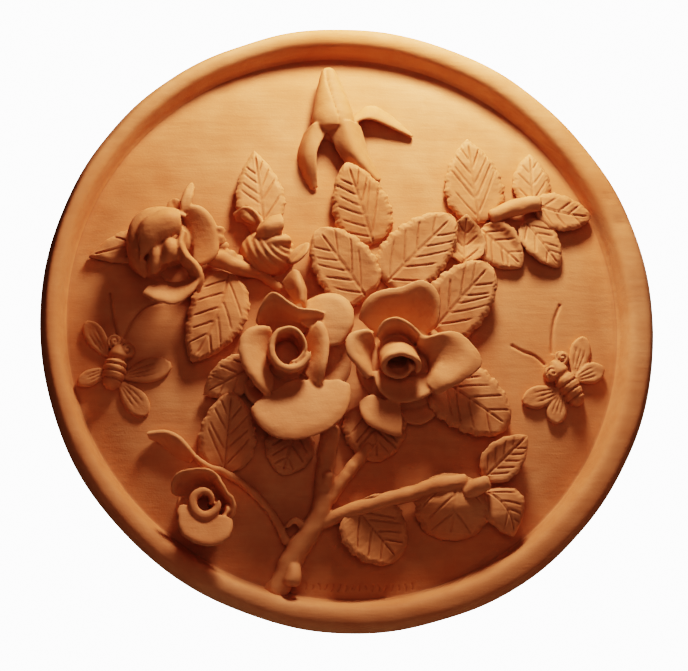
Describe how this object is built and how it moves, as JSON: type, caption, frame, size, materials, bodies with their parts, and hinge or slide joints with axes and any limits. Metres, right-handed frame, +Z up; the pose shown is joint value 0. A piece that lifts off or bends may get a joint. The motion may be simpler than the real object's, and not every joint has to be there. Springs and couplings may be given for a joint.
{
  "type": "decorative wall plaque",
  "caption": "Round unglazed terracotta wall plaque with a raised rim and a hand-modelled relief of roses, buds, leaves, forked stems and bees.",
  "frame": {"origin": "centre of the flat round back, on the wall plane", "axes": "+Y into the wall, so the relief faces -Y; +Z up as it hangs; +X to the right as it is looked at"},
  "size_m": [0.35, 0.0463, 0.35],
  "materials": {
    "terracotta": "unglazed, matt, warm orange-brown fired clay with faint smoothing marks"
  },
  "bodies": {
    "root": {"rose_plaque": "terracotta"}
  },
  "joints": []
}
